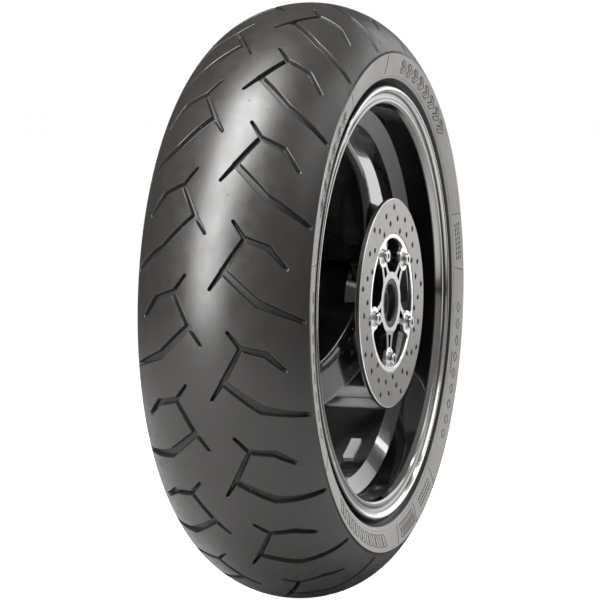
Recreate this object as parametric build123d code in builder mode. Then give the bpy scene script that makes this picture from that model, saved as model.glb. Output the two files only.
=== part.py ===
from build123d import *
from math import copysign, cos, degrees, hypot, pi, radians, sin, tan
import os

os.makedirs("parts", exist_ok=True)

# A 180/55 ZR 17 rear sport tyre on its cast wheel, with brake disc, bearings, cush drive and sprocket.
# Origin: wheel centre on the axle line, in the tyre's mid-plane. +Y is the bike's left, where the
# chain runs; the brake disc is on the right, at -Y. +X is the way the bike rolls, +Z is up.
# Outlines of turned pieces are lists of (radius, axial) points, turned about the Y axis.
# "Clock angles" run from +Z towards -X.

# ---------------------------------------------------------------- driving dimensions, millimetres
TYRE_R = 315.0                     # 17 inch rim plus two 99 mm sidewalls
CROWN_R = 112.4                    # section radius over the middle of the tread
SHOULDER_R = 94.5                  # section radius from there to the tread edge
BLEND_ANGLE = 23.6                 # where the crown arc runs into the shoulder arc
EDGE_ANGLE = 62.8                  # where the tread ends in a sharp mould line
TREAD_DEPTH = 8.0
BELT_ANGLE = 50.0
BELT_T = 0.8
CASING_T = 3.8
GROOVE_DEPTH = 5.6
PITCHES = 18                       # tread pattern repeats round the tyre, on each side
RIGHT_PHASE = 13.7                 # clock angle of the pattern's first corner, disc side
LEFT_PHASE = 3.7                   # half a pitch earlier on the chain side

FLANGE_Y = 76.2                    # 6 inch rim: half the width between the flanges
SEAT_R = 218.3                     # bead seat radius at the flange
SEAT_TAPER = 5.0
WELL_INNER_R = 190.0
WELL_OUTER_R = 196.0
SPOKES = 3
SPOKE_WALL = 5.0

DISC_R = 110.0
DISC_FACE_Y = -91.2                # outer face of the braking band
DISC_T = 5.0
BAND_INNER_R = 73.3
DISC_RING_R = 68.5                 # inner edge of the ring that carries the bolt lugs
BOLT_R = 59.0                      # five bolts on 118 mm
BOLTS = 5
BOLT_PHASE = 29.0
LUG_R = 12.5
LUG_GAP = 0.3
COLUMN_R = 11.5                    # under each bolt
COLUMN_H = 30.0
STAR_T = 13.0
BOLT_HOLE_R = 4.25
BOLT_THREAD_R = 4.0
BOLT_FLANGE_R = 8.2
BOLT_FLANGE_T = 1.6
BOLT_HEAD_R = 6.6
BOLT_HEAD_H = 3.6
HEX_SOCKET_R = 3.4
HEX_SOCKET_DEPTH = 3.2
VENT_HOLES = 45
VENT_R = 3.0
VENT_ROWS = (84.0, 95.0, 78.0, 89.5, 101.0)

AXLE_R = 12.5                      # 25 mm axle
BEARING_R = 26.0                   # 6205 bearing, 25 x 52 x 15
BEARING_W = 15.0
BALL_R = 3.97
BALL_PITCH_R = 19.52
BALLS = 9
RIGHT_BEARING_Y = -82.0
LEFT_BEARING_Y = 30.0
CARRIER_BEARING_Y = 78.0

HUB_FACE_Y = -89.5                 # machined face of the five-armed hub star
PAD_Y = DISC_FACE_Y + DISC_T       # where the disc seats
DRUM_R = 80.0                      # cush drive drum on the chain side
DRUM_BORE_R = 71.0
BOSS_R = 34.0                      # round the left wheel bearing, inside the drum
DRUM_FLOOR_Y = 32.0
DRUM_END_Y = 70.0
CUSH_BLOCKS = 5
RIB_T = 10.0
VANE_T = 9.0

TEETH = 43
CHAIN_PITCH = 15.875               # 525 chain
SPROCKET_Y = 95.0
SPROCKET_T = 6.0
STUD_R = 54.0                      # five studs on 108 mm
STUD_SHANK_R = 5.0

VALVE_ANGLE = 152.0
VALVE_R = 4.1
VALVE_TIP_R = 152.0                # distance of the valve's tip from the axle
WEIGHT_ANGLE = 206.5                # stick-on balance weights


# ---------------------------------------------------------------- helpers
def clock(angle, radius):
    """(x, z) of a point at a clock angle and radius in the wheel's plane."""
    return -radius * sin(radians(angle)), radius * cos(radians(angle))


def crown(angle, depth=0.0):
    """(radius, axial) on the tyre's crown, at an angle from the mid-plane and a depth below it."""
    bend = radians(abs(angle))
    radius, centre_r, centre_y = CROWN_R, TYRE_R - CROWN_R, 0.0
    if abs(angle) > BLEND_ANGLE:
        radius = SHOULDER_R
        centre_r += (CROWN_R - SHOULDER_R) * cos(radians(BLEND_ANGLE))
        centre_y += (CROWN_R - SHOULDER_R) * sin(radians(BLEND_ANGLE))
    axial = centre_y + (radius - depth) * sin(bend)
    return centre_r + (radius - depth) * cos(bend), copysign(axial, angle)


def crown_line(limit, depth):
    """Draws the crown's three arcs, from -limit to +limit, at a depth below the tread."""
    side = (limit + BLEND_ANGLE) / 2
    ThreePointArc(crown(-limit, depth), crown(-side, depth), crown(-BLEND_ANGLE, depth))
    ThreePointArc(crown(-BLEND_ANGLE, depth), crown(0, depth), crown(BLEND_ANGLE, depth))
    ThreePointArc(crown(BLEND_ANGLE, depth), crown(side, depth), crown(limit, depth))


def arc_to_angle(arc):
    """Crown angle at a distance along the tread surface from the mid-plane."""
    bend_arc = CROWN_R * radians(BLEND_ANGLE)
    if abs(arc) <= bend_arc:
        return degrees(arc / CROWN_R)
    return copysign(BLEND_ANGLE + degrees((abs(arc) - bend_arc) / SHOULDER_R), arc)


def turned(outline):
    """A ring turned about the axle from a closed (radius, axial) outline."""
    with BuildPart() as ring:
        with BuildSketch(Plane.XY):
            with BuildLine():
                Polyline(*outline, close=True)
            make_face()
        revolve(axis=Axis.Y)
    return ring.part


def save(piece, name):
    """Labels a finished piece and writes it as the node of that name."""
    piece.label = name
    export_step(piece, f"parts/{name}.step")


def axial_plane(y):
    """A plane square to the axle at y: local x is -X, local y is +Z, extrusion goes to +Y."""
    return Plane(origin=(0, y, 0), x_dir=(-1, 0, 0), z_dir=(0, 1, 0))


def ray(angle, radius):
    """Local point of axial_plane at a clock angle and radius."""
    return radius * sin(radians(angle)), radius * cos(radians(angle))


def arm_point(angle, radius, aside):
    """Local point of axial_plane at a radius along a clock angle and a distance to its side."""
    x, y = ray(angle, radius)
    side_x, side_y = ray(angle + 90, aside)
    return x + side_x, y + side_y


def radial_plane(angle, radius):
    """A plane at a clock angle and radius, facing the axle: extrusion goes inwards."""
    x, z = clock(angle, radius)
    in_x, in_z = clock(angle, -1)
    return Plane(origin=(x, 0, z), x_dir=(0, 1, 0), z_dir=(in_x, 0, in_z))


# ---------------------------------------------------------------- tyre: tread
# One repeat of the tread pattern, as strokes from (clock degrees, arc) to (clock degrees, arc), width.
# The corner at (0, 36) joins a short stroke, a long stroke to the middle and a branch outwards; the
# corner at (6.1, 17) starts the wide branch that runs out to the tread's edge.
PATTERN = (
    ((-3.0, 23.0), (0.0, 36.0), 4.0),
    ((0.0, 36.0), (6.1, 17.0), 5.2),
    ((6.1, 17.0), (9.4, 4.5), 4.4),
    ((0.0, 36.0), (1.3, 60.5), 6.0),
    ((1.3, 60.5), (4.8, 80.0), 5.4),
    ((6.1, 17.0), (11.8, 53.0), 7.2),
    ((11.8, 53.0), (15.4, 103.0), 6.4),
)
PITCH_ANGLE = 360 / PITCHES
SECTOR_MIDDLE = 270 - PITCH_ANGLE / 2    # a turned profile starts at +X, which is clock 270


def tread_plane(angle, arc):
    """A plane touching the tread at a clock angle and arc, facing out, with x round the tyre."""
    bend = arc_to_angle(arc)
    radius, axial = crown(bend)
    x, z = clock(angle, radius)
    out_x, out_z = clock(angle, cos(radians(bend)))
    round_x, round_z = clock(angle + 90, 1)
    return Plane(
        origin=(x, axial, z),
        x_dir=(round_x, 0, round_z),
        z_dir=(out_x, sin(radians(bend)), out_z),
    )


# One sector of the tread, as long as one repeat, with every groove that reaches into it.
with BuildPart() as tread_sector:
    with BuildSketch(Plane.XY):
        with BuildLine():
            crown_line(EDGE_ANGLE, 0)
            Line(crown(EDGE_ANGLE), crown(EDGE_ANGLE, TREAD_DEPTH))
            crown_line(EDGE_ANGLE, TREAD_DEPTH)
            Line(crown(-EDGE_ANGLE, TREAD_DEPTH), crown(-EDGE_ANGLE))
        make_face()
    revolve(axis=Axis.Y, revolution_arc=PITCH_ANGLE)
    for (start, start_arc), (end, end_arc), width in PATTERN:
        for side, phase in ((-1, RIGHT_PHASE), (1, LEFT_PHASE)):
            for pitch in range(PITCHES + 1):
                angle = phase + pitch * PITCH_ANGLE + (start + end) / 2
                if abs(angle - SECTOR_MIDDLE) > PITCH_ANGLE:
                    continue
                arc = (start_arc + end_arc) / 2
                run = radians(end - start) / 2 * crown(arc_to_angle(arc))[0]
                across = -side * (end_arc - start_arc) / 2
                with BuildSketch(tread_plane(angle, side * arc).offset(-GROOVE_DEPTH)):
                    SlotCenterPoint((0, 0), (run, across), width)
    extrude(amount=GROOVE_DEPTH + 4, mode=Mode.SUBTRACT)

# Its skin, without the two cut ends, is repeated all the way round and closed into one solid.
cut_ends = tread_sector.faces().filter_by(GeomType.PLANE).sort_by(SortBy.AREA)[-2:]
skin = [face for face in tread_sector.faces() if face not in cut_ends]
with BuildPart() as tread:
    ring = [face.rotate(Axis.Y, k * PITCH_ANGLE) for k in range(PITCHES) for face in skin]
    add(Solid(Shell(ring)))
save(tread.part, "tread")

# ---------------------------------------------------------------- tyre: belt, casing and bead cores
with BuildPart() as steel_belt:
    with BuildSketch(Plane.XY):
        with BuildLine():
            crown_line(BELT_ANGLE, TREAD_DEPTH)
            Line(crown(BELT_ANGLE, TREAD_DEPTH), crown(BELT_ANGLE, TREAD_DEPTH + BELT_T))
            crown_line(BELT_ANGLE, TREAD_DEPTH + BELT_T)
            Line(crown(-BELT_ANGLE, TREAD_DEPTH + BELT_T), crown(-BELT_ANGLE, TREAD_DEPTH))
        make_face()
    revolve(axis=Axis.Y)
save(steel_belt.part, "steel_belt")

BEAD_TOE_Y = 61.0
toe_r = SEAT_R - (FLANGE_Y - BEAD_TOE_Y) * tan(radians(SEAT_TAPER))
sidewall = (
    crown(EDGE_ANGLE),
    (249.5, 89.3),
    (236.0, 85.5),
    (234.0, 82.0),
    (230.5, 78.4),
    (226.5, FLANGE_Y),
    (SEAT_R, FLANGE_Y),
    (toe_r, BEAD_TOE_Y),
    (222.0, 60.5),
    (230.0, 66.0),
    (238.0, 75.0),
    (246.0, 79.8),
    crown(EDGE_ANGLE, TREAD_DEPTH + CASING_T),
)
BEAD_CORE = ((220.5, 67.5), (225.5, 67.5), (225.5, 73.5), (220.5, 73.5))


def flipped(outline):
    """The same outline on the other side of the mid-plane."""
    return tuple((radius, -axial) for radius, axial in outline)


with BuildPart() as casing:
    with BuildSketch(Plane.XY):
        with BuildLine():
            belt_depth = TREAD_DEPTH + BELT_T
            edge_mid = (BELT_ANGLE + EDGE_ANGLE) / 2
            crown_line(BELT_ANGLE, belt_depth)
            for side in (-1, 1):
                Line(crown(side * BELT_ANGLE, belt_depth), crown(side * BELT_ANGLE, TREAD_DEPTH))
                ThreePointArc(
                    crown(side * BELT_ANGLE, TREAD_DEPTH),
                    crown(side * edge_mid, TREAD_DEPTH),
                    crown(side * EDGE_ANGLE, TREAD_DEPTH),
                )
                Line(crown(side * EDGE_ANGLE, TREAD_DEPTH), crown(side * EDGE_ANGLE))
            Polyline(*sidewall)
            Polyline(*flipped(sidewall))
            crown_line(EDGE_ANGLE, TREAD_DEPTH + CASING_T)
        make_face()
        with BuildLine():
            Polyline(*BEAD_CORE, close=True)
        make_face(mode=Mode.SUBTRACT)
        with BuildLine():
            Polyline(*flipped(BEAD_CORE), close=True)
        make_face(mode=Mode.SUBTRACT)
    revolve(axis=Axis.Y)
save(casing.part, "casing")
save(turned(flipped(BEAD_CORE)), "bead_core_right")
save(turned(BEAD_CORE), "bead_core_left")

# ---------------------------------------------------------------- cast wheel
seat_end_y = 57.0
seat_end_r = SEAT_R - (FLANGE_Y - seat_end_y) * tan(radians(SEAT_TAPER))
rim_half = (
    (WELL_INNER_R, 40.0),
    (206.0, 50.0),
    (207.5, 74.0),
    (209.7, 80.0),
    (211.5, 81.5),
    (214.5, 81.5),
    (216.5, 80.4),
    (221.0, 81.4),
    (223.6, 84.1),
    (226.4, 84.8),
    (228.2, 83.4),
    (228.2, 79.6),
    (226.0, FLANGE_Y),
    (SEAT_R, FLANGE_Y),
    (seat_end_r, seat_end_y),
    (217.8, 55.0),
    (217.8, 53.0),
    (213.5, 50.0),
    (WELL_OUTER_R, 33.0),
)
hub_outline = (
    (BEARING_R, HUB_FACE_Y),
    (33.0, HUB_FACE_Y),
    (33.0, -68.0),
    (48.0, -54.0),
    (50.0, 4.0),
    (DRUM_R, 18.0),
    (DRUM_R, DRUM_END_Y),
    (DRUM_BORE_R, DRUM_END_Y),
    (DRUM_BORE_R, DRUM_FLOOR_Y),
    (BOSS_R, DRUM_FLOOR_Y),
    (BOSS_R, LEFT_BEARING_Y + BEARING_W + 1.0),
    (BEARING_R, LEFT_BEARING_Y + BEARING_W + 1.0),
    (BEARING_R, LEFT_BEARING_Y),
    (21.5, LEFT_BEARING_Y),
    (21.5, 22.0),
    (42.0, 14.0),
    (42.0, -50.0),
    (21.5, -60.0),
    (21.5, RIGHT_BEARING_Y + BEARING_W),
    (BEARING_R, RIGHT_BEARING_Y + BEARING_W),
)


def spoke_blank(inset, low, high):
    """One hollow spoke's outer or inner shape, standing up +Z, between two heights."""
    outer_side = ((-77.0, 40.0), (-77.0, 84.0), (-71.5, 118.0), (-62.5, 146.0), (-47.0, 174.0))
    inner_side = ((46.0, 174.0), (49.0, 146.0), (52.0, 118.0), (52.0, 84.0), (52.0, 40.0))
    tips = ((-44.0, 192.5), (44.0, 192.5))
    side = [(y - copysign(inset, y), z) for y, z in outer_side + tips + inner_side]
    front = ((32.0, 40.0), (30.0, 84.0), (26.5, 120.0), (25.5, 150.0), (28.5, 176.0), (33.0, 192.5))
    right = [(x - inset, z) for x, z in front]
    with BuildPart() as blank:
        with BuildSketch(Plane.YZ):
            with BuildLine():
                Spline(*side[:5], side[5])
                Line(side[5], side[6])
                Spline(side[6], *side[7:])
                Line(side[-1], side[0])
            make_face()
        extrude(amount=40, both=True)
        with BuildSketch(Plane.XZ):
            with BuildLine():
                Spline(*right)
                Line(right[-1], (-right[-1][0], right[-1][1]))
                Spline(*[(-x, z) for x, z in right])
                Line((-right[0][0], right[0][1]), right[0])
            make_face()
        extrude(amount=100, both=True, mode=Mode.INTERSECT)
        split(bisect_by=Plane.XY.offset(low), keep=Keep.TOP)
        split(bisect_by=Plane.XY.offset(high), keep=Keep.BOTTOM)
    return blank.part


BOLT_LOCATIONS = PolarLocations(BOLT_R, BOLTS, start_angle=90 - BOLT_PHASE)

with BuildPart() as spoke:
    add(spoke_blank(0, 46, 192))
    long_edges = spoke.edges().filter_by(lambda edge: edge.bounding_box().size.Z > 60)
    fillet(long_edges, 9)
    add(spoke_blank(SPOKE_WALL, 62, 182), mode=Mode.SUBTRACT)

with BuildPart() as wheel:
    with BuildSketch(Plane.XY):
        with BuildLine():
            Polyline(*rim_half, *reversed(flipped(rim_half)), close=True)
        make_face()
    revolve(axis=Axis.Y)
    with BuildSketch(Plane.XY):
        with BuildLine():
            Polyline(*hub_outline, close=True)
        make_face()
    revolve(axis=Axis.Y)
    for index in range(SPOKES):
        add(spoke.part.rotate(Axis.Y, index * 360 / SPOKES))
    # the cush pocket is cut back out of the spokes' roots
    with BuildSketch(Plane.XY):
        with Locations(((BOSS_R + DRUM_BORE_R) / 2, (DRUM_FLOOR_Y + DRUM_END_Y) / 2)):
            Rectangle(DRUM_BORE_R - BOSS_R, DRUM_END_Y - DRUM_FLOOR_Y)
    revolve(axis=Axis.Y, mode=Mode.SUBTRACT)
    # ribs between the cush blocks
    with BuildSketch(axial_plane(DRUM_FLOOR_Y)):
        with PolarLocations((BOSS_R + DRUM_BORE_R) / 2, CUSH_BLOCKS, start_angle=90):
            Rectangle(DRUM_BORE_R - BOSS_R + 2, RIB_T)
    extrude(amount=DRUM_END_Y - DRUM_FLOOR_Y - 4)
    # the five-armed star that carries the disc: arms, then a pad and a column under each bolt
    with BuildSketch(axial_plane(HUB_FACE_Y)):
        for index in range(BOLTS):
            angle = BOLT_PHASE + index * 360 / BOLTS
            with BuildLine():
                Polyline(
                    arm_point(angle, 30.0, -12.5),
                    arm_point(angle, 38.0, -9.0),
                    arm_point(angle, 47.0, -8.0),
                    arm_point(angle, 53.0, -9.5),
                    arm_point(angle, 53.0, 9.5),
                    arm_point(angle, 47.0, 8.0),
                    arm_point(angle, 38.0, 9.0),
                    arm_point(angle, 30.0, 12.5),
                    close=True,
                )
            make_face()
            with BuildLine():
                Polyline(
                    arm_point(angle, 33.5, -4.6),
                    arm_point(angle, 47.5, -2.4),
                    arm_point(angle, 47.5, 2.4),
                    arm_point(angle, 33.5, 4.6),
                    close=True,
                )
            make_face(mode=Mode.SUBTRACT)
    extrude(amount=STAR_T)
    with BuildSketch(axial_plane(HUB_FACE_Y)):
        with BOLT_LOCATIONS:
            Circle(LUG_R + LUG_GAP)
    extrude(amount=PAD_Y - HUB_FACE_Y, mode=Mode.SUBTRACT)
    with BuildSketch(axial_plane(PAD_Y)):
        with BOLT_LOCATIONS:
            Circle(COLUMN_R)
    extrude(amount=COLUMN_H)
    with BuildSketch(axial_plane(PAD_Y)):
        with BOLT_LOCATIONS:
            Circle(BOLT_THREAD_R)
    extrude(amount=20, mode=Mode.SUBTRACT)
    # valve hole through the rim well
    with BuildSketch(radial_plane(VALVE_ANGLE, WELL_OUTER_R + 2)):
        Circle(VALVE_R)
    extrude(amount=12, mode=Mode.SUBTRACT)
save(wheel.part, "wheel")

# ---------------------------------------------------------------- brake disc, bolts and dust seal
RING_RELIEF = 0.3                  # the ring and lugs stand back from the braking band
with BuildPart() as brake_disc:
    with BuildSketch(axial_plane(DISC_FACE_Y)) as disc_face:
        Circle(DISC_R)
        Circle(DISC_RING_R, mode=Mode.SUBTRACT)
        with BOLT_LOCATIONS:
            Circle(LUG_R)
        inner_corners = disc_face.vertices().filter_by(
            lambda corner: abs(hypot(corner.X, corner.Y) - DISC_RING_R) < 0.01
        )
        fillet(inner_corners, 9)
        with BOLT_LOCATIONS:
            Circle(BOLT_HOLE_R, mode=Mode.SUBTRACT)
        for index in range(VENT_HOLES):
            row = VENT_ROWS[index % len(VENT_ROWS)]
            with Locations(ray(5 + index * 360 / VENT_HOLES, row)):
                Circle(VENT_R, mode=Mode.SUBTRACT)
    extrude(amount=DISC_T)
    with BuildSketch(axial_plane(DISC_FACE_Y)):
        Circle(BAND_INNER_R)
    extrude(amount=RING_RELIEF, mode=Mode.SUBTRACT)
save(brake_disc.part, "brake_disc")

with BuildPart() as disc_bolts:
    head_y = DISC_FACE_Y + RING_RELIEF
    with BuildSketch(axial_plane(head_y)):
        with BOLT_LOCATIONS:
            Circle(BOLT_THREAD_R)
    extrude(amount=20)
    with BuildSketch(axial_plane(head_y)):
        with BOLT_LOCATIONS:
            Circle(BOLT_FLANGE_R)
    extrude(amount=-BOLT_FLANGE_T)
    with BuildSketch(axial_plane(head_y - BOLT_FLANGE_T)):
        with BOLT_LOCATIONS:
            Circle(BOLT_HEAD_R)
    extrude(amount=-BOLT_HEAD_H)
    head_rims = disc_bolts.edges().group_by(Axis.Y)[0]
    fillet(head_rims, 1.2)
    with BuildSketch(axial_plane(head_y - BOLT_FLANGE_T - BOLT_HEAD_H)):
        with BOLT_LOCATIONS:
            RegularPolygon(HEX_SOCKET_R, 6)
    extrude(amount=HEX_SOCKET_DEPTH, mode=Mode.SUBTRACT)
save(disc_bolts.part, "disc_bolts")

dust_seal_outline = (
    (BEARING_R, -89.2),
    (21.4, -89.2),
    (19.8, -87.8),
    (19.8, -86.6),
    (21.6, -85.4),
    (21.6, -84.0),
    (BEARING_R, -83.0),
)
save(turned(dust_seal_outline), "dust_seal")


# ---------------------------------------------------------------- bearings: 6205, sealed
def bearing(name, start_y):
    """Writes a bearing's five nodes, its right-hand face at start_y."""
    middle = start_y + BEARING_W / 2
    for part, inner, outer in (("inner_race", AXLE_R, 17.0), ("outer_race", 22.0, BEARING_R)):
        with BuildPart() as race:
            with BuildSketch(Plane.XY):
                with Locations(((inner + outer) / 2, middle)):
                    Rectangle(outer - inner, BEARING_W)
                with Locations((BALL_PITCH_R, middle)):
                    Circle(BALL_R + 0.13, mode=Mode.SUBTRACT)
            revolve(axis=Axis.Y)
        save(race.part, f"{name}_{part}")
    ball_places = PolarLocations(BALL_PITCH_R, BALLS)
    with BuildPart(axial_plane(middle)) as balls:
        with ball_places:
            Sphere(BALL_R)
    save(balls.part, f"{name}_balls")
    with BuildPart() as cage:
        with BuildSketch(Plane.XY):
            with Locations((BALL_PITCH_R, middle)):
                Rectangle(2.2, 10)
        revolve(axis=Axis.Y)
        for index in range(BALLS):
            turn = 90 - index * 360 / BALLS
            x, z = clock(turn, 1)
            pocket = Plane(origin=(0, middle, 0), x_dir=(0, 1, 0), z_dir=(x, 0, z))
            with BuildSketch(pocket.offset(BALL_PITCH_R - 3)):
                Circle(BALL_R + 0.08)
        extrude(amount=6, mode=Mode.SUBTRACT)
    save(cage.part, f"{name}_cage")
    with BuildPart() as shields:
        with BuildSketch(Plane.XY):
            with Locations((19.6, middle - 6.9), (19.6, middle + 6.9)):
                Rectangle(4.8, 0.9)
        revolve(axis=Axis.Y)
    save(shields.part, f"{name}_shields")


bearing("right_bearing", RIGHT_BEARING_Y)
bearing("left_bearing", LEFT_BEARING_Y)
bearing("carrier_bearing", CARRIER_BEARING_Y)


# ---------------------------------------------------------------- sleeves on the axle
def sleeve(outer, start_y, end_y):
    """A tube on the axle."""
    return turned(((AXLE_R, start_y), (outer, start_y), (outer, end_y), (AXLE_R, end_y)))


save(sleeve(16.0, RIGHT_BEARING_Y + BEARING_W, LEFT_BEARING_Y), "spacer_tube")
save(sleeve(16.5, LEFT_BEARING_Y + BEARING_W, CARRIER_BEARING_Y), "carrier_sleeve")
collar_outline = (
    (AXLE_R, CARRIER_BEARING_Y + BEARING_W),
    (16.5, CARRIER_BEARING_Y + BEARING_W),
    (16.5, 94.0),
    (20.0, 94.0),
    (20.0, 105.0),
    (22.5, 105.0),
    (22.5, 111.0),
    (21.5, 112.0),
    (AXLE_R, 112.0),
)
save(turned(collar_outline), "outer_collar")
carrier_seal_outline = (
    (BEARING_R, 93.6),
    (22.0, 93.6),
    (22.0, 95.4),
    (20.1, 97.0),
    (20.1, 98.4),
    (21.8, 100.2),
    (BEARING_R, 100.2),
)
save(turned(carrier_seal_outline), "carrier_seal")

# ---------------------------------------------------------------- cush drive
RUBBER_GAP = 0.3
BRIDGE_Y = 42.0                    # the two halves of a block join below this
BLOCK_TOP_Y = 66.0
rib_gap = RIB_T / 2 + RUBBER_GAP
half_sector = 180 / CUSH_BLOCKS
for number in range(CUSH_BLOCKS):
    middle = (number + 0.5) * 360 / CUSH_BLOCKS
    apex_x, apex_y = ray(middle, rib_gap / sin(radians(half_sector)))
    far = [ray(middle + turn, 120) for turn in (-half_sector, half_sector)]
    with BuildPart() as rubber:
        with BuildSketch(axial_plane(DRUM_FLOOR_Y + 0.1)):
            Circle(DRUM_BORE_R - RUBBER_GAP)
            Circle(BOSS_R + RUBBER_GAP, mode=Mode.SUBTRACT)
            with BuildLine():
                Polyline(
                    (apex_x, apex_y),
                    (apex_x + far[0][0], apex_y + far[0][1]),
                    (apex_x + far[1][0], apex_y + far[1][1]),
                    close=True,
                )
            make_face(mode=Mode.INTERSECT)
        extrude(amount=BLOCK_TOP_Y - DRUM_FLOOR_Y - 0.1)
        upright = rubber.edges().filter_by(Axis.Y)
        fillet(upright, 3)
        with BuildSketch(axial_plane(BRIDGE_Y)):
            with Locations(Location(ray(middle, 52), 90 - middle)):
                Rectangle(60, VANE_T + 0.2)
        extrude(amount=40, mode=Mode.SUBTRACT)
    save(rubber.part, f"cush_rubber_{number + 1}")

SEAT_Y = 95.0                      # the sprocket's face on the carrier
WEB_Y = 72.0
WEB_END_Y = 82.0
REGISTER_R = 39.95                 # the sprocket centres on this
carrier_outline = (
    (21.0, WEB_Y),
    (77.0, WEB_Y),
    (77.0, WEB_END_Y),
    (REGISTER_R, WEB_END_Y),
    (REGISTER_R, 99.0),
    (38.9, 100.0),
    (33.0, 100.5),
    (BEARING_R, 100.5),
    (BEARING_R, CARRIER_BEARING_Y),
    (21.0, CARRIER_BEARING_Y),
)
vane_in, vane_out = BOSS_R + 3.0, DRUM_BORE_R - 3.0
vane_phase = 90 - half_sector
STUD_LOCATIONS = PolarLocations(STUD_R, CUSH_BLOCKS, start_angle=90)
with BuildPart() as sprocket_carrier:
    with BuildSketch(Plane.XY):
        with BuildLine():
            Polyline(*carrier_outline, close=True)
        make_face()
    revolve(axis=Axis.Y)
    with BuildSketch(axial_plane(BRIDGE_Y + 0.5)):
        with PolarLocations((vane_in + vane_out) / 2, CUSH_BLOCKS, start_angle=vane_phase):
            Rectangle(vane_out - vane_in, VANE_T)
    extrude(amount=WEB_Y - BRIDGE_Y)
    with BuildSketch(axial_plane(WEB_Y)):
        with STUD_LOCATIONS:
            Circle(13)
    extrude(amount=SEAT_Y - WEB_Y)
    # outside the drum, the web is dished between the stud bosses
    with BuildSketch(axial_plane(WEB_END_Y - 3)):
        with PolarLocations(61, CUSH_BLOCKS, start_angle=vane_phase):
            Circle(9)
    extrude(amount=4, mode=Mode.SUBTRACT)
    with BuildSketch(axial_plane(SEAT_Y - 14)):
        with STUD_LOCATIONS:
            Circle(STUD_SHANK_R)
    extrude(amount=15, mode=Mode.SUBTRACT)
save(sprocket_carrier.part, "sprocket_carrier")

pitch_r = CHAIN_PITCH / 2 / sin(pi / TEETH)
TIP_R = 113.2
SEAT_CURVE_R = 5.15
with BuildPart() as sprocket:
    with BuildSketch(axial_plane(SPROCKET_Y)):
        Circle(TIP_R)
        with PolarLocations(pitch_r, TEETH, start_angle=90):
            Circle(SEAT_CURVE_R, mode=Mode.SUBTRACT)
            with BuildLine():
                Polyline((0, -5.1), (7, -7.2), (7, 7.2), (0, 5.1), close=True)
            make_face(mode=Mode.SUBTRACT)
        Circle(REGISTER_R + 0.05, mode=Mode.SUBTRACT)
        with STUD_LOCATIONS:
            Circle(STUD_SHANK_R, mode=Mode.SUBTRACT)
        with PolarLocations(81, 2 * CUSH_BLOCKS, start_angle=90):
            SlotOverall(30, 16, rotation=90, mode=Mode.SUBTRACT)
    extrude(amount=SPROCKET_T)
save(sprocket.part, "sprocket")

with BuildPart() as sprocket_studs:
    with BuildSketch(axial_plane(SEAT_Y - 14)):
        with STUD_LOCATIONS:
            Circle(STUD_SHANK_R)
    extrude(amount=31)
    chamfer(sprocket_studs.edges().group_by(Axis.Y)[-1], 0.8)
save(sprocket_studs.part, "sprocket_studs")

with BuildPart() as sprocket_nuts:
    with BuildSketch(axial_plane(SPROCKET_Y + SPROCKET_T)):
        with STUD_LOCATIONS:
            Circle(10)
            Circle(STUD_SHANK_R, mode=Mode.SUBTRACT)
    extrude(amount=1.6)
    with BuildSketch(axial_plane(SPROCKET_Y + SPROCKET_T + 1.6)):
        with STUD_LOCATIONS:
            RegularPolygon(8.1, 6)
            Circle(STUD_SHANK_R, mode=Mode.SUBTRACT)
    extrude(amount=7)
save(sprocket_nuts.part, "sprocket_nuts")

# ---------------------------------------------------------------- tyre valve and balance weights
VALVE_BORE_R = 2.1
with BuildPart() as valve_stem:
    with BuildSketch(radial_plane(VALVE_ANGLE, WELL_OUTER_R + 3)):
        Circle(8)
    extrude(amount=2)
    with BuildSketch(radial_plane(VALVE_ANGLE, WELL_OUTER_R + 3)):
        Circle(VALVE_R)
    extrude(amount=WELL_OUTER_R + 3 - VALVE_TIP_R)
    with BuildSketch(radial_plane(VALVE_ANGLE, WELL_OUTER_R + 3)):
        Circle(VALVE_BORE_R)
    extrude(amount=WELL_OUTER_R + 3 - VALVE_TIP_R, mode=Mode.SUBTRACT)
save(valve_stem.part, "valve_stem")

with BuildPart() as valve_seal:
    with BuildSketch(radial_plane(VALVE_ANGLE, WELL_OUTER_R + 1)):
        Circle(7.5)
        Circle(VALVE_R, mode=Mode.SUBTRACT)
    extrude(amount=3)
    # its underside follows the well's curve
    Cylinder(WELL_OUTER_R, 40, rotation=(90, 0, 0), mode=Mode.SUBTRACT)
save(valve_seal.part, "valve_seal")

with BuildPart() as valve_nut:
    with BuildSketch(radial_plane(VALVE_ANGLE, WELL_INNER_R - 0.5)):
        RegularPolygon(7, 6)
        Circle(VALVE_R, mode=Mode.SUBTRACT)
    extrude(amount=5)
save(valve_nut.part, "valve_nut")

with BuildPart() as valve_core:
    with BuildSketch(radial_plane(VALVE_ANGLE, VALVE_TIP_R + 17)):
        Circle(VALVE_BORE_R)
        Circle(0.8, mode=Mode.SUBTRACT)
    extrude(amount=16)
save(valve_core.part, "valve_core")

with BuildPart() as valve_pin:
    with BuildSketch(radial_plane(VALVE_ANGLE, VALVE_TIP_R + 18.6)):
        Circle(1.8)
    extrude(amount=1.5)
    with BuildSketch(radial_plane(VALVE_ANGLE, VALVE_TIP_R + 18.6)):
        Circle(0.72)
    extrude(amount=19)
save(valve_pin.part, "valve_pin")

with BuildPart() as valve_cap:
    with BuildSketch(radial_plane(VALVE_ANGLE, VALVE_TIP_R + 8)):
        Circle(5.4)
    extrude(amount=14)
    fillet(valve_cap.edges().sort_by(SortBy.DISTANCE)[0], 1.2)
    with BuildSketch(radial_plane(VALVE_ANGLE, VALVE_TIP_R + 8)):
        Circle(VALVE_R + 0.08)
    extrude(amount=10.5, mode=Mode.SUBTRACT)
save(valve_cap.part, "valve_cap")

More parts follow.
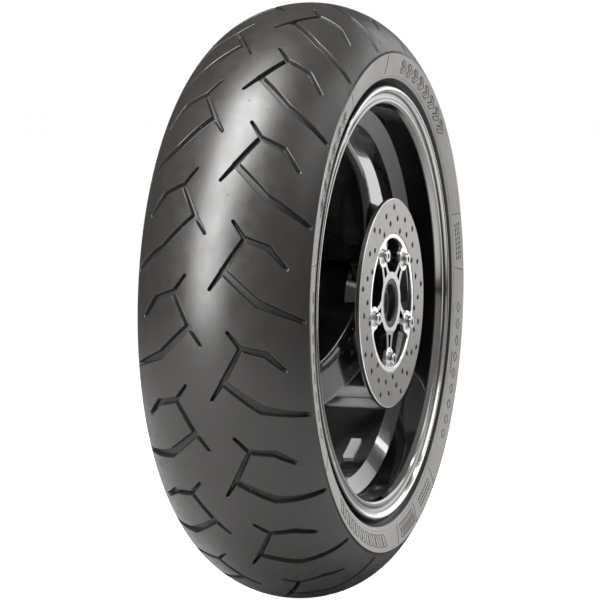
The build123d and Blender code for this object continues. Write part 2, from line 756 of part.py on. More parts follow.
WEIGHT_Y = -19.0
with BuildPart() as balance_weights:
    for step in (-1, 0, 1):
        with BuildSketch(axial_plane(WEIGHT_Y - 5.5)):
            with BuildLine():
                start = WEIGHT_ANGLE + step * 3.4 - 1.6
                end = WEIGHT_ANGLE + step * 3.4 + 1.6
                Polyline(
                    ray(start, WELL_INNER_R),
                    ray(start, WELL_INNER_R - 3.6),
                    ray(end, WELL_INNER_R - 3.6),
                    ray(end, WELL_INNER_R),
                )
                ThreePointArc(
                    ray(end, WELL_INNER_R),
                    ray((start + end) / 2, WELL_INNER_R),
                    ray(start, WELL_INNER_R),
                )
            make_face()
    extrude(amount=11)
save(balance_weights.part, "balance_weights")
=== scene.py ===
import math

import bpy
import numpy as np
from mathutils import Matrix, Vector
from mathutils.geometry import delaunay_2d_cdt


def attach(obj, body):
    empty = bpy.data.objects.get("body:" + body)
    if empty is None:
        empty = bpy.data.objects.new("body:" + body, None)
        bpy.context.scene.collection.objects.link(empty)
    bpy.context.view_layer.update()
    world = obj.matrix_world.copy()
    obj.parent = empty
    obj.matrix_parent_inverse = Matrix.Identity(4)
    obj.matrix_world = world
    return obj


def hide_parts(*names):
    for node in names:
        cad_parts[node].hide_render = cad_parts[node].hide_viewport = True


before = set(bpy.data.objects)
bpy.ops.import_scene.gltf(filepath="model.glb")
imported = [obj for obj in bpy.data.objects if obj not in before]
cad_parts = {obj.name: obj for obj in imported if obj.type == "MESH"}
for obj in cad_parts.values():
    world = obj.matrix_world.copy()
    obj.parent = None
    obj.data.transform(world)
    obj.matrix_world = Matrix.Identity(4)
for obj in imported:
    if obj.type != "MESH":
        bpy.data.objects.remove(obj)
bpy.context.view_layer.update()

# Every size below is in millimetres; MM turns it into Blender's metres when a mesh is made.
# Origin: wheel centre. +Y is the chain side, the disc is at -Y. Clock angles run from +Z to -X.
MM = 0.001


# ======== camera, light and floor
def aim(obj, target):
    """Turns a camera or lamp at a point."""
    obj.rotation_euler = (Vector(target) - obj.location).to_track_quat("-Z", "Y").to_euler()


CAMERA_PLACE = (-3.3079, -1.1504, 0.3198)      # metres
CAMERA_WAY = (0.939558, 0.330127, -0.090809)
CAMERA_LENS = 198.97                           # millimetres, on a 36 mm sensor
CAMERA_REACH = 60                              # metres, past the far edge of the floor
FLOOR_REACH = 14.0                             # metres, half the floor's side
PAPER_GLOW = 0.96                              # how far the paper is lifted to white for the camera
# name, bearing and elevation in degrees, distance, (width, height) in metres, radiance
SOFTBOXES = (
    ("tall_left", 162, 27, 2.7, (1.15, 2.9), 19),
    ("upper_left", 166, 67, 2.6, (1.3, 1.4), 17),
    ("ceiling", 145, 81, 2.5, (1.2, 1.5), 5.5),
    ("behind_right", -19, 8, 2.8, (1.7, 2.4), 1.5),
    ("side_fill", -80, 38, 2.8, (1.6, 1.2), 1.6),
    ("strip_right", -48, 22, 2.8, (0.14, 2.2), 9.0),
)


def make_camera():
    """The main view: low, from behind and to the right of the wheel, with a long lens."""
    data = bpy.data.cameras.new("camera")
    camera = bpy.data.objects.new("camera", data)
    bpy.context.scene.collection.objects.link(camera)
    camera.location = CAMERA_PLACE
    camera.rotation_euler = Vector(CAMERA_WAY).to_track_quat("-Z", "Y").to_euler()
    data.lens = CAMERA_LENS
    data.sensor_width = 36.0
    data.clip_end = CAMERA_REACH
    bpy.context.scene.camera = camera


def area_light(name, bearing, height, distance, size, radiance):
    """A softbox facing the wheel from a bearing and elevation, seen only by the object."""
    data = bpy.data.lights.new(name, "AREA")
    data.shape = "RECTANGLE"
    data.size, data.size_y = size
    data.energy = radiance * math.pi * size[0] * size[1]
    lamp = bpy.data.objects.new(name, data)
    flat = distance * math.cos(math.radians(height))
    lamp.location = (
        flat * math.cos(math.radians(bearing)),
        flat * math.sin(math.radians(bearing)),
        distance * math.sin(math.radians(height)),
    )
    aim(lamp, (0, 0, 0))
    lamp.visible_camera = False
    bpy.context.scene.collection.objects.link(lamp)


def map_range(tree, value, low, high, to_low, to_high):
    """A node output rescaled from one span of numbers to another."""
    node = tree.nodes.new("ShaderNodeMapRange")
    tree.links.new(value, node.inputs["Value"])
    spans = (("From Min", low), ("From Max", high), ("To Min", to_low), ("To Max", to_high))
    for key, number in spans:
        node.inputs[key].default_value = number
    return node.outputs["Result"]


def camera_glow(tree, lit, strength):
    """A surface shader with plain white light added that only the camera sees."""
    path = tree.nodes.new("ShaderNodeLightPath")
    gate = tree.nodes.new("ShaderNodeMath")
    gate.operation = "MULTIPLY"
    gate.inputs[1].default_value = strength
    white = tree.nodes.new("ShaderNodeEmission")
    white.inputs["Color"].default_value = (1, 1, 1, 1)
    both = tree.nodes.new("ShaderNodeAddShader")
    tree.links.new(path.outputs["Is Camera Ray"], gate.inputs[0])
    tree.links.new(gate.outputs[0], white.inputs["Strength"])
    tree.links.new(lit, both.inputs[0])
    tree.links.new(white.outputs[0], both.inputs[1])
    return both.outputs[0]


def camera_white(tree, lit):
    """A world shader that is swapped for plain white where the camera looks straight at it."""
    path = tree.nodes.new("ShaderNodeLightPath")
    white = tree.nodes.new("ShaderNodeBackground")
    white.inputs["Color"].default_value = (1, 1, 1, 1)
    white.inputs["Strength"].default_value = 1.0
    either = tree.nodes.new("ShaderNodeMixShader")
    tree.links.new(path.outputs["Is Camera Ray"], either.inputs["Fac"])
    tree.links.new(lit, either.inputs[1])
    tree.links.new(white.outputs[0], either.inputs[2])
    return either.outputs[0]


def make_floor():
    """Pale paper, painted darker away from the wheel as shade."""
    height = -315.0 * MM
    mesh = bpy.data.meshes.new("floor")
    corners = [
        (x * FLOOR_REACH, y * FLOOR_REACH, height) for x, y in ((-1, -1), (1, -1), (1, 1), (-1, 1))
    ]
    mesh.from_pydata(corners, [], [(0, 1, 2, 3)])
    floor = bpy.data.objects.new("floor", mesh)
    bpy.context.scene.collection.objects.link(floor)
    paper = plain_material("floor_paper", (0.82, 0.82, 0.82), 0.8)
    tree = paper.node_tree
    shader = tree.nodes["Principled BSDF"]
    place = tree.nodes.new("ShaderNodeTexCoord")
    away = tree.nodes.new("ShaderNodeVectorMath")
    away.operation = "LENGTH"
    tree.links.new(place.outputs["Object"], away.inputs[0])
    # The paper's colour falls from 0.42 near the wheel to 0.1 far off: painted shade.
    shade = map_range(tree, away.outputs["Value"], 0.7, 2.6, 0.42, 0.1)
    tree.links.new(shade, shader.inputs["Base Color"])
    glowing = camera_glow(tree, shader.outputs[0], PAPER_GLOW)
    tree.links.new(glowing, tree.nodes["Material Output"].inputs["Surface"])
    floor.data.materials.append(paper)


def make_surroundings():
    """White surroundings, dim on the chain side and light on the disc side."""
    world = bpy.data.worlds.new("studio")
    bpy.context.scene.world = world
    world.use_nodes = True
    tree = world.node_tree
    back = tree.nodes["Background"]
    back.inputs["Color"].default_value = (1, 1, 1, 1)
    way = tree.nodes.new("ShaderNodeTexCoord")
    split = tree.nodes.new("ShaderNodeSeparateXYZ")
    tree.links.new(way.outputs["Generated"], split.inputs[0])
    fade = map_range(tree, split.outputs["Y"], -0.5, 0.5, 0.36, 0.06)
    tree.links.new(fade, back.inputs["Strength"])
    seen = camera_white(tree, back.outputs[0])
    tree.links.new(seen, tree.nodes["World Output"].inputs["Surface"])


# ======== materials
def plain_material(name, colour, roughness):
    """A principled material with one colour; the functions below add the detail."""
    material = bpy.data.materials.new(name)
    material.use_nodes = True
    shader = material.node_tree.nodes["Principled BSDF"]
    shader.inputs["Base Color"].default_value = (*colour, 1)
    shader.inputs["Roughness"].default_value = roughness
    return material


ENAMEL = (0.006, 0.006, 0.0065)
GAP_SHADE_R = 236.0                    # the sidewall is painted dark inside this radius, as shade in the gap beside the rim
HUB_FACE = -89.42                  # the casting is bare metal beyond this axial position
LIP_LOW, LIP_HIGH = 207.0, 229.0   # radii across which the rim edge's painted highlights and shade are laid out


class Nodes:
    """Short names for building a node tree."""

    def __init__(self, material):
        self.tree = material.node_tree
        self.shader = self.tree.nodes["Principled BSDF"]

    def add(self, kind, **values):
        node = self.tree.nodes.new(kind)
        for key, value in values.items():
            if hasattr(node, key):
                setattr(node, key, value)
        return node

    def link(self, a, b):
        self.tree.links.new(a, b)

    def place(self):
        """Object coordinates, in metres in the part's own frame."""
        return self.add("ShaderNodeTexCoord").outputs["Object"]

    def noise(self, vector, scale, detail=2.0, roughness=0.5):
        node = self.add("ShaderNodeTexNoise")
        node.inputs["Scale"].default_value = scale
        node.inputs["Detail"].default_value = detail
        node.inputs["Roughness"].default_value = roughness
        self.link(vector, node.inputs["Vector"])
        return node.outputs["Fac"]

    def math(self, kind, a, b=None):
        node = self.add("ShaderNodeMath", operation=kind)
        for socket, item in zip(node.inputs, (a, b)):
            if item is None:
                continue
            if isinstance(item, (int, float)):
                socket.default_value = item
            else:
                self.link(item, socket)
        return node.outputs[0]

    def ramp(self, factor, stops):
        node = self.add("ShaderNodeValToRGB")
        ramp = node.color_ramp
        while len(ramp.elements) < len(stops):
            ramp.elements.new(0.5)
        for element, (position, colour) in zip(ramp.elements, stops):
            element.position = position
            element.color = (*colour, 1)
        self.link(factor, node.inputs["Fac"])
        return node.outputs["Color"]

    def remap(self, value, low, high, to_low, to_high):
        return map_range(self.tree, value, low, high, to_low, to_high)

    def mix(self, factor, a, b):
        """Two colours mixed; each is three numbers or another node's output."""
        node = self.add("ShaderNodeMix", data_type="RGBA")
        self.link(factor, node.inputs[0])
        for socket, item in ((node.inputs[6], a), (node.inputs[7], b)):
            if isinstance(item, tuple):
                socket.default_value = (*item, 1)
            else:
                self.link(item, socket)
        return node.outputs[2]

    def bump(self, height, strength, distance):
        node = self.add("ShaderNodeBump")
        node.inputs["Strength"].default_value = strength
        node.inputs["Distance"].default_value = distance
        self.link(height, node.inputs["Height"])
        return node.outputs["Normal"]

    def polar(self):
        """Radius in metres, angle in radians and axial position in metres at each point."""
        split = self.add("ShaderNodeSeparateXYZ")
        self.link(self.place(), split.inputs[0])
        x, z = split.outputs["X"], split.outputs["Z"]
        squares = self.math("ADD", self.math("MULTIPLY", x, x), self.math("MULTIPLY", z, z))
        return self.math("SQRT", squares), self.math("ARCTAN2", x, z), split.outputs["Y"]


def rubber_material(name, colour, roughness, grain=900.0, depth=0.00006, spread=0.12):
    """Moulded rubber: fine grain, faint clouding and small shifts in roughness."""
    material = plain_material(name, colour, roughness)
    n = Nodes(material)
    place = n.place()
    cloud = n.noise(place, 14.0, 4.0, 0.6)
    dark = tuple(c * (1 - spread) for c in colour)
    light = tuple(min(1, c * (1 + spread)) for c in colour)
    n.link(n.ramp(cloud, ((0.35, dark), (0.65, light))), n.shader.inputs["Base Color"])
    fine = n.noise(place, grain, 3.0, 0.6)
    rough = n.remap(n.noise(place, 60.0, 4.0, 0.6), 0.3, 0.7, roughness - 0.05, roughness + 0.06)
    n.link(rough, n.shader.inputs["Roughness"])
    n.link(n.bump(fine, 0.5, depth), n.shader.inputs["Normal"])
    return material


def sidewall_material(name):
    """Moulded sidewall: painted pale outside a radius, as light falling on it, and painted dark
    inside it, as shade in the groove beside the rim.
    """
    material = rubber_material(name, (0.36, 0.35, 0.336), 0.45, spread=0.06)
    n = Nodes(material)
    radius, _, _ = n.polar()
    pale = n.shader.inputs["Base Color"].links[0].from_socket
    outside = n.remap(radius, (GAP_SHADE_R - 0.4) * MM, (GAP_SHADE_R + 0.4) * MM, 0.0, 1.0)
    # Near black inside the radius is painted shade in the gap beside the rim; the pale rubber
    # outside it is painted light.
    n.link(n.mix(outside, (0.006, 0.006, 0.006), pale), n.shader.inputs["Base Color"])
    return material


def black_paint(name):
    """Gloss black enamel under a clear coat, with a faint orange peel."""
    material = plain_material(name, ENAMEL, 0.16)
    n = Nodes(material)
    n.shader.inputs["Coat Weight"].default_value = 1.0
    n.shader.inputs["Coat Roughness"].default_value = 0.03
    peel = n.noise(n.place(), 420.0, 1.0, 0.4)
    n.link(n.bump(peel, 0.25, 0.00002), n.shader.inputs["Normal"])
    dust = n.noise(n.place(), 35.0, 5.0, 0.65)
    n.link(n.remap(dust, 0.35, 0.75, 0.12, 0.24), n.shader.inputs["Roughness"])
    return material


def wheel_finish(name):
    """Gloss black enamel, machined bright on the hub's face."""
    material = black_paint(name)
    n = Nodes(material)
    radius, _, axial = n.polar()
    face = n.math("LESS_THAN", axial, HUB_FACE * MM)
    lines = n.add("ShaderNodeCombineXYZ")
    n.link(n.math("MULTIPLY", radius, 2400.0), lines.inputs[0])
    rings = n.noise(lines.outputs[0], 1.0, 2.0, 0.5)
    metal = n.ramp(rings, ((0.3, (0.30, 0.295, 0.285)), (0.7, (0.46, 0.45, 0.44))))
    n.link(n.mix(face, ENAMEL, metal), n.shader.inputs["Base Color"])
    n.link(face, n.shader.inputs["Metallic"])
    old = n.shader.inputs["Roughness"].links[0].from_socket
    gap = n.math("MULTIPLY", n.math("SUBTRACT", 0.42, old), face)
    n.link(n.math("ADD", old, gap), n.shader.inputs["Roughness"])
    return material


def turned_metal(name, colour, roughness, lines=2600.0, depth=0.00003, dull=0.1):
    """Lathe-turned or ground metal: fine rings about the axle, and slight staining."""
    material = plain_material(name, colour, roughness)
    n = Nodes(material)
    n.shader.inputs["Metallic"].default_value = 1.0
    radius, angle, axial = n.polar()
    join = n.add("ShaderNodeCombineXYZ")
    n.link(n.math("MULTIPLY", radius, lines), join.inputs[0])
    n.link(n.math("MULTIPLY", axial, lines), join.inputs[1])
    n.link(n.math("MULTIPLY", angle, 0.6), join.inputs[2])
    rings = n.noise(join.outputs[0], 1.0, 2.0, 0.5)
    cloud = n.noise(n.place(), 40.0, 4.0, 0.6)
    dark = tuple(c * (1 - dull) for c in colour)
    n.link(n.ramp(cloud, ((0.3, dark), (0.7, colour))), n.shader.inputs["Base Color"])
    rough = n.remap(rings, 0.2, 0.8, roughness - 0.06, roughness + 0.08)
    n.link(rough, n.shader.inputs["Roughness"])
    n.link(n.bump(rings, 0.35, depth), n.shader.inputs["Normal"])
    return material


def lip_painted_light(name):
    """Machined rim edge, with painted highlights on the bead and the inner ridge, and painted shade
    in the hollows.
    """
    material = turned_metal(name, (0.5, 0.49, 0.48), 0.12, lines=900.0, depth=0.000006)
    n = Nodes(material)
    radius, _, _ = n.polar()
    across = n.remap(radius, LIP_LOW * MM, LIP_HIGH * MM, 0.0, 1.0)
    # Bright bands are painted highlights; near-black bands are painted shade in the hollows and at
    # the bead's edge beside the tyre.
    colours = n.ramp(across, (
        (0.03, (0.34, 0.332, 0.325)), (0.28, (0.27, 0.262, 0.255)), (0.36, (0.05, 0.049, 0.048)),
        (0.43, (0.3, 0.292, 0.285)), (0.57, (0.22, 0.215, 0.21)), (0.63, (0.04, 0.039, 0.038)),
        (0.70, (0.62, 0.61, 0.6)), (0.86, (0.7, 0.69, 0.68)), (0.93, (0.05, 0.049, 0.048)),
    ))
    n.link(colours, n.shader.inputs["Base Color"])
    return material


def cast_metal(name, colour, roughness, metallic=1.0):
    """Sand-cast or zinc-coated metal with a fine grain."""
    material = plain_material(name, colour, roughness)
    n = Nodes(material)
    n.shader.inputs["Metallic"].default_value = metallic
    grain = n.noise(n.place(), 700.0, 3.0, 0.6)
    cloud = n.noise(n.place(), 30.0, 4.0, 0.6)
    dark = tuple(c * 0.82 for c in colour)
    n.link(n.ramp(cloud, ((0.3, dark), (0.7, colour))), n.shader.inputs["Base Color"])
    rough = n.remap(grain, 0.3, 0.7, roughness - 0.06, roughness + 0.08)
    n.link(rough, n.shader.inputs["Roughness"])
    n.link(n.bump(grain, 0.4, 0.00005), n.shader.inputs["Normal"])
    return material


# ======== mesh helpers
TINY = 1e-12


def clock(angle, radius):
    """(x, z) at a clock angle in degrees, for numbers or arrays."""
    return -radius * np.sin(np.radians(angle)), radius * np.cos(np.radians(angle))


def add_piece(
    name, points, faces, body, materials, face_material=None, normals=None, smooth=True
):
    """A mesh piece from points in millimetres, riding on a body."""
    mesh = bpy.data.meshes.new(name)
    places = [tuple(p) for p in np.asarray(points, float) * MM]
    mesh.from_pydata(places, [], [tuple(int(i) for i in face) for face in faces])
    for material in materials:
        mesh.materials.append(material)
    if face_material is not None:
        mesh.polygons.foreach_set("material_index", np.asarray(face_material, np.int32))
    mesh.polygons.foreach_set("use_smooth", np.full(len(mesh.polygons), smooth))
    if normals is not None:
        mesh.normals_split_custom_set([tuple(v) for v in normals])
    mesh.update()
    piece = bpy.data.objects.new(name, mesh)
    bpy.context.scene.collection.objects.link(piece)
    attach(piece, body)
    return piece


def reversed_face(face):
    return tuple(reversed(face))


def corner_table(faces):
    """Faces as rows of four corners, a triangle repeating its last."""
    return np.array([(*face, face[2])[:4] for face in faces])


def grouped_normals(points, faces, groups):
    """Loop normals, smooth inside each group of faces and sharp between groups."""
    points = np.asarray(points, float)
    table = corner_table(faces)
    corners = points[table]
    flat = np.cross(corners[:, 2] - corners[:, 0], corners[:, 3] - corners[:, 1])
    count = max(groups) + 1
    keys = table * count + np.asarray(groups)[:, None]
    sums = np.zeros((len(points) * count, 3))
    sizes = np.array([len(face) for face in faces])
    for column in range(4):
        used = sizes > column
        np.add.at(sums, keys[used, column], flat[used])
    used = np.arange(4)[None, :] < sizes[:, None]
    normals = sums[keys[used]]
    length = np.linalg.norm(normals, axis=1)
    normals[length < TINY] = (0, 0, 1)
    return normals / np.maximum(length, TINY)[:, None]


def rounded(corners, radii, steps=5):
    """A closed outline with each corner rounded to its radius."""
    out = []
    count = len(corners)
    for index, (corner, radius) in enumerate(zip(corners, radii)):
        corner = np.array(corner, float)
        if radius <= 0:
            out.append(corner)
            continue
        before = np.array(corners[index - 1], float) - corner
        after = np.array(corners[(index + 1) % count], float) - corner
        len_a, len_b = np.linalg.norm(before), np.linalg.norm(after)
        before, after = before / len_a, after / len_b
        half = math.acos(max(-1, min(1, float(before @ after)))) / 2
        cut = min(radius / math.tan(half), 0.48 * len_a, 0.48 * len_b)
        size = cut * math.tan(half)
        between = (before + after) / np.linalg.norm(before + after)
        middle = corner + between * size / math.sin(half)
        start, end = corner + before * cut - middle, corner + after * cut - middle
        sweep = math.pi - 2 * half
        for k in range(steps + 1):
            t = k / steps
            if sweep < 1e-4:
                out.append(middle + start)
                continue
            arm = start * math.sin((1 - t) * sweep) + end * math.sin(t * sweep)
            out.append(middle + arm / math.sin(sweep))
    return out


def turn_outline(outline, segments):
    """Points and quads of a closed (radius, axial) outline turned about the axle."""
    outline = np.asarray(outline, float)
    count = len(outline)
    points = []
    for angle in np.arange(segments) * 360.0 / segments:
        x, z = clock(angle, outline[:, 0])
        points.append(np.column_stack((x, outline[:, 1], z)))
    faces = []
    for j in range(segments):
        here, there = j * count, (j + 1) % segments * count
        for i in range(count):
            k = (i + 1) % count
            faces.append((here + i, there + i, there + k, here + k))
    return np.vstack(points), faces


def outward(points, faces):
    """The faces, turned over if the closed mesh is inside out."""
    a, b, c, d = np.moveaxis(np.asarray(points, float)[corner_table(faces)], 1, 0)
    volume = np.sum(a * np.cross(b, c)) + np.sum(a * np.cross(c, d))
    return faces if volume > 0 else [reversed_face(face) for face in faces]


def lathe(name, outline, segments, body, material, crease=30.0):
    """A turned piece, sharp where its outline turns by more than the crease angle."""
    points, faces = turn_outline(outline, segments)
    flat = outward(points, faces)
    outline = np.asarray(outline, float)
    count = len(outline)
    steps = np.roll(outline, -1, axis=0) - outline
    heading = np.degrees(np.arctan2(steps[:, 1], steps[:, 0]))
    group, groups = 0, []
    for i in range(count):
        bend = abs((heading[i] - heading[i - 1] + 180) % 360 - 180)
        if i and bend > crease:
            group += 1
        groups.append(group)
    if abs((heading[0] - heading[-1] + 180) % 360 - 180) <= crease:
        groups = [0 if g == group else g for g in groups]
    groups = groups * segments
    normals = grouped_normals(points, flat, groups)
    return add_piece(name, points, flat, body, [material], normals=normals)


# -------- outlines from distance fields
def trace_level(field, level, xs, ys):
    """Closed outlines where a sampled field crosses a level."""
    inside = field < level
    cells = inside[:-1, :-1].astype(int) + inside[1:, :-1] + inside[1:, 1:] + inside[:-1, 1:]
    links = {}

    def crossing(edge):
        kind, i, j = edge
        i2, j2 = (i + 1, j) if kind == "h" else (i, j + 1)
        a, b = field[i, j], field[i2, j2]
        t = (level - a) / (b - a)
        return xs[i] + (xs[i2] - xs[i]) * t, ys[j] + (ys[j2] - ys[j]) * t

    for i, j in zip(*np.nonzero((cells > 0) & (cells < 4))):
        corners = (inside[i, j], inside[i + 1, j], inside[i + 1, j + 1], inside[i, j + 1])
        edges = (("h", i, j), ("v", i + 1, j), ("h", i, j + 1), ("v", i, j))
        cut = [edges[k] for k in range(4) if corners[k] != corners[(k + 1) % 4]]
        pairs = [(cut[0], cut[1])]
        if len(cut) == 4:
            if corners[0] or field[i : i + 2, j : j + 2].mean() < level:
                pairs = [(edges[0], edges[1]), (edges[2], edges[3])]
            else:
                pairs = [(edges[0], edges[3]), (edges[1], edges[2])]
        for a, b in pairs:
            links.setdefault(a, []).append(b)
            links.setdefault(b, []).append(a)
    loops = []
    while links:
        start = next(iter(links))
        loop, here, last = [start], start, None
        while True:
            options = links.pop(here, [])
            onward = [edge for edge in options if edge != last and edge in links]
            if not onward:
                break
            last, here = here, onward[0]
            loop.append(here)
        if len(loop) > 3:
            loops.append(np.array([crossing(edge) for edge in loop]))
    return loops


def thin_out(loop, tolerance, longest):
    """The loop with few points on straight stretches, and none further apart than longest."""
    count = len(loop)
    keep = {0, int(np.argmax(np.linalg.norm(loop - loop[0], axis=1)))}

    def split(a, b):
        if b - a < 2:
            return
        start, end = loop[a], loop[b % count]
        chord = end - start
        length = np.linalg.norm(chord)
        between = np.array([loop[k % count] for k in range(a + 1, b)]) - start
        if length < 1e-9:
            away = np.linalg.norm(between, axis=1)
        else:
            away = np.abs(between[:, 0] * chord[1] - between[:, 1] * chord[0]) / length
        k = int(np.argmax(away))
        if away[k] > tolerance:
            keep.add((a + 1 + k) % count)
            split(a, a + 1 + k)
            split(a + 1 + k, b)

    first, second = sorted(keep)
    split(first, second)
    split(second, first + count)
    order = sorted(keep)
    out = []
    for a, b in zip(order, order[1:] + order[:1]):
        start, end = loop[a], loop[b]
        pieces = max(1, int(math.ceil(np.linalg.norm(end - start) / longest)))
        out += [start + (end - start) * k / pieces for k in range(pieces)]
    return np.array(out)


# ======== tyre
TYRE_R = 314.95                    # a hair inside the CAD tread
CROWN_R = 112.4
SHOULDER_R = 94.5
BLEND = 23.6
EDGE = 62.8
TREAD_T = 8.0
BLEND_ARC = CROWN_R * math.radians(BLEND)
EDGE_ARC = BLEND_ARC + SHOULDER_R * math.radians(EDGE - BLEND)
PITCHES = 18
PITCH = 360.0 / PITCHES
RIGHT_PHASE = 13.7
LEFT_PHASE = 3.7
PATTERN_R = 300.0                  # radius at which the flat pattern is drawn
AROUND = 30                        # steps round the tyre in each repeat
ACROSS = 34                        # steps from the mid-line to the tread's edge
TILE_START = -3.9                  # clock angle where a repeat's tile begins, from its phase
UNDER_ROWS = 12                    # strips across the tread's underside
SAMPLE = 0.4                       # spacing of the groove field's samples
BLANK, ON_TOP, ON_LIP, IN_GROOVE = -1, 0, 1, 2


def on_crown(arc, depth):
    """Radius, axial position and slope angle on the tread, for arrays of arc and depth."""
    arc, depth = np.asarray(arc, float), np.asarray(depth, float)
    size = np.abs(arc)
    on_shoulder = size > BLEND_ARC
    blend = math.radians(BLEND)
    bend = np.where(on_shoulder, blend + (size - BLEND_ARC) / SHOULDER_R, size / CROWN_R)
    section = np.where(on_shoulder, SHOULDER_R, CROWN_R)
    shift = CROWN_R - SHOULDER_R
    centre_r = TYRE_R - CROWN_R + np.where(on_shoulder, shift * math.cos(blend), 0)
    centre_y = np.where(on_shoulder, shift * math.sin(blend), 0)
    radius = centre_r + (section - depth) * np.cos(bend)
    axial = (centre_y + (section - depth) * np.sin(bend)) * np.sign(arc)
    return radius, axial, bend * np.sign(arc)


def on_tread(angle, arc, depth):
    """Points in space for clock angles, arcs and depths."""
    radius, axial, bend = on_crown(arc, depth)
    x, z = clock(angle, radius)
    return np.column_stack((x, axial, z))


# One repeat of the pattern: strokes as (clock degrees, arc, half width) at each end.
STROKES = (
    ((-3.0, 23.0, 1.6), (0.0, 36.0, 2.3)),
    ((0.0, 36.0, 2.5), (6.1, 17.0, 2.9)),
    ((6.1, 17.0, 2.7), (9.4, 4.5, 1.6)),
    ((0.0, 36.0, 2.8), (1.3, 60.5, 3.6)),
    ((1.3, 60.5, 3.6), (4.8, 80.0, 2.3)),
    ((6.1, 17.0, 3.4), (11.8, 53.0, 4.6)),
    ((11.8, 53.0, 4.6), (15.4, 103.0, 2.9)),
)
# Depth of the tread at each distance inside the groove's outline: lip, wall, foot and floor.
LIP_OUT, LIP_DEPTH = 0.45, 0.4
FOOT_IN, FOOT_DEPTH = -0.75, 4.6
FLOOR_IN, FLOOR_DEPTH = -1.5, 5.4
LEVELS = ((LIP_OUT, 0.0), (0.0, LIP_DEPTH), (FOOT_IN, FOOT_DEPTH), (FLOOR_IN, FLOOR_DEPTH))


def groove_distance(x, arc):
    """Signed distance to the nearest stroke, negative inside the groove."""
    best = np.full(np.shape(x), 1e3)
    for (a_angle, a_arc, a_half), (b_angle, b_arc, b_half) in STROKES:
        ax, bx = math.radians(a_angle) * PATTERN_R, math.radians(b_angle) * PATTERN_R
        dx, dy = bx - ax, b_arc - a_arc
        t = np.clip(((x - ax) * dx + (arc - a_arc) * dy) / (dx * dx + dy * dy), 0, 1)
        away = np.hypot(x - ax - t * dx, arc - a_arc - t * dy)
        best = np.minimum(best, away - (a_half + (b_half - a_half) * t))
    return best


def tread_tile():
    """One repeat of one side: flat points (angle, arc, depth, level) and triangles."""
    x_low = math.radians(TILE_START) * PATTERN_R
    x_high = math.radians(TILE_START + PITCH) * PATTERN_R
    xs = np.arange(x_low, x_high + SAMPLE, SAMPLE)
    ys = np.arange(0, EDGE_ARC + SAMPLE, SAMPLE)
    field = groove_distance(xs[:, None], ys[None, :])
    points, depths, levels, edges = [], [], [], []

    def add_loop(loop, depth, level):
        first, count = len(points), len(loop)
        points.extend(map(tuple, loop))
        depths.extend([depth] * count)
        levels.extend([level] * count)
        edges.extend((first + k, first + (k + 1) % count) for k in range(count))

    arcs = np.linspace(0, EDGE_ARC, ACROSS + 1)
    frame_x = np.linspace(x_low, x_high, AROUND + 1)
    border = [(x, 0) for x in frame_x[:-1]] + [(x_high, y) for y in arcs[:-1]]
    border += [(x, EDGE_ARC) for x in frame_x[:0:-1]] + [(x_low, y) for y in arcs[:0:-1]]
    add_loop(border, 0.0, BLANK)
    for level, (distance, depth) in enumerate(LEVELS):
        for loop in trace_level(field, distance, xs, ys):
            add_loop(thin_out(loop, 0.05, 3.0), depth, level)
    for row, y in enumerate(arcs[1:-1]):
        shift = 0.5 if row % 2 else 0.0
        for k in range(1, AROUND):
            x = x_low + (k + shift - 0.25) * (x_high - x_low) / AROUND
            if groove_distance(np.array(x), np.array(y)) > LIP_OUT + 1.3 and x < x_high - 1:
                points.append((x, y))
                depths.append(0.0)
                levels.append(BLANK)
    corners = [Vector(p) for p in points]
    made, _, triangles, origin, _, _ = delaunay_2d_cdt(corners, edges, [], 0, 1e-5, True)
    flat = np.array([(v[0], v[1]) for v in made])
    first = [ids[0] for ids in origin]
    depth = np.array([depths[k] for k in first])
    level = np.array([levels[k] for k in first])
    angle = np.degrees(flat[:, 0] / PATTERN_R)
    return angle, flat[:, 1], depth, level, [tuple(t) for t in triangles]


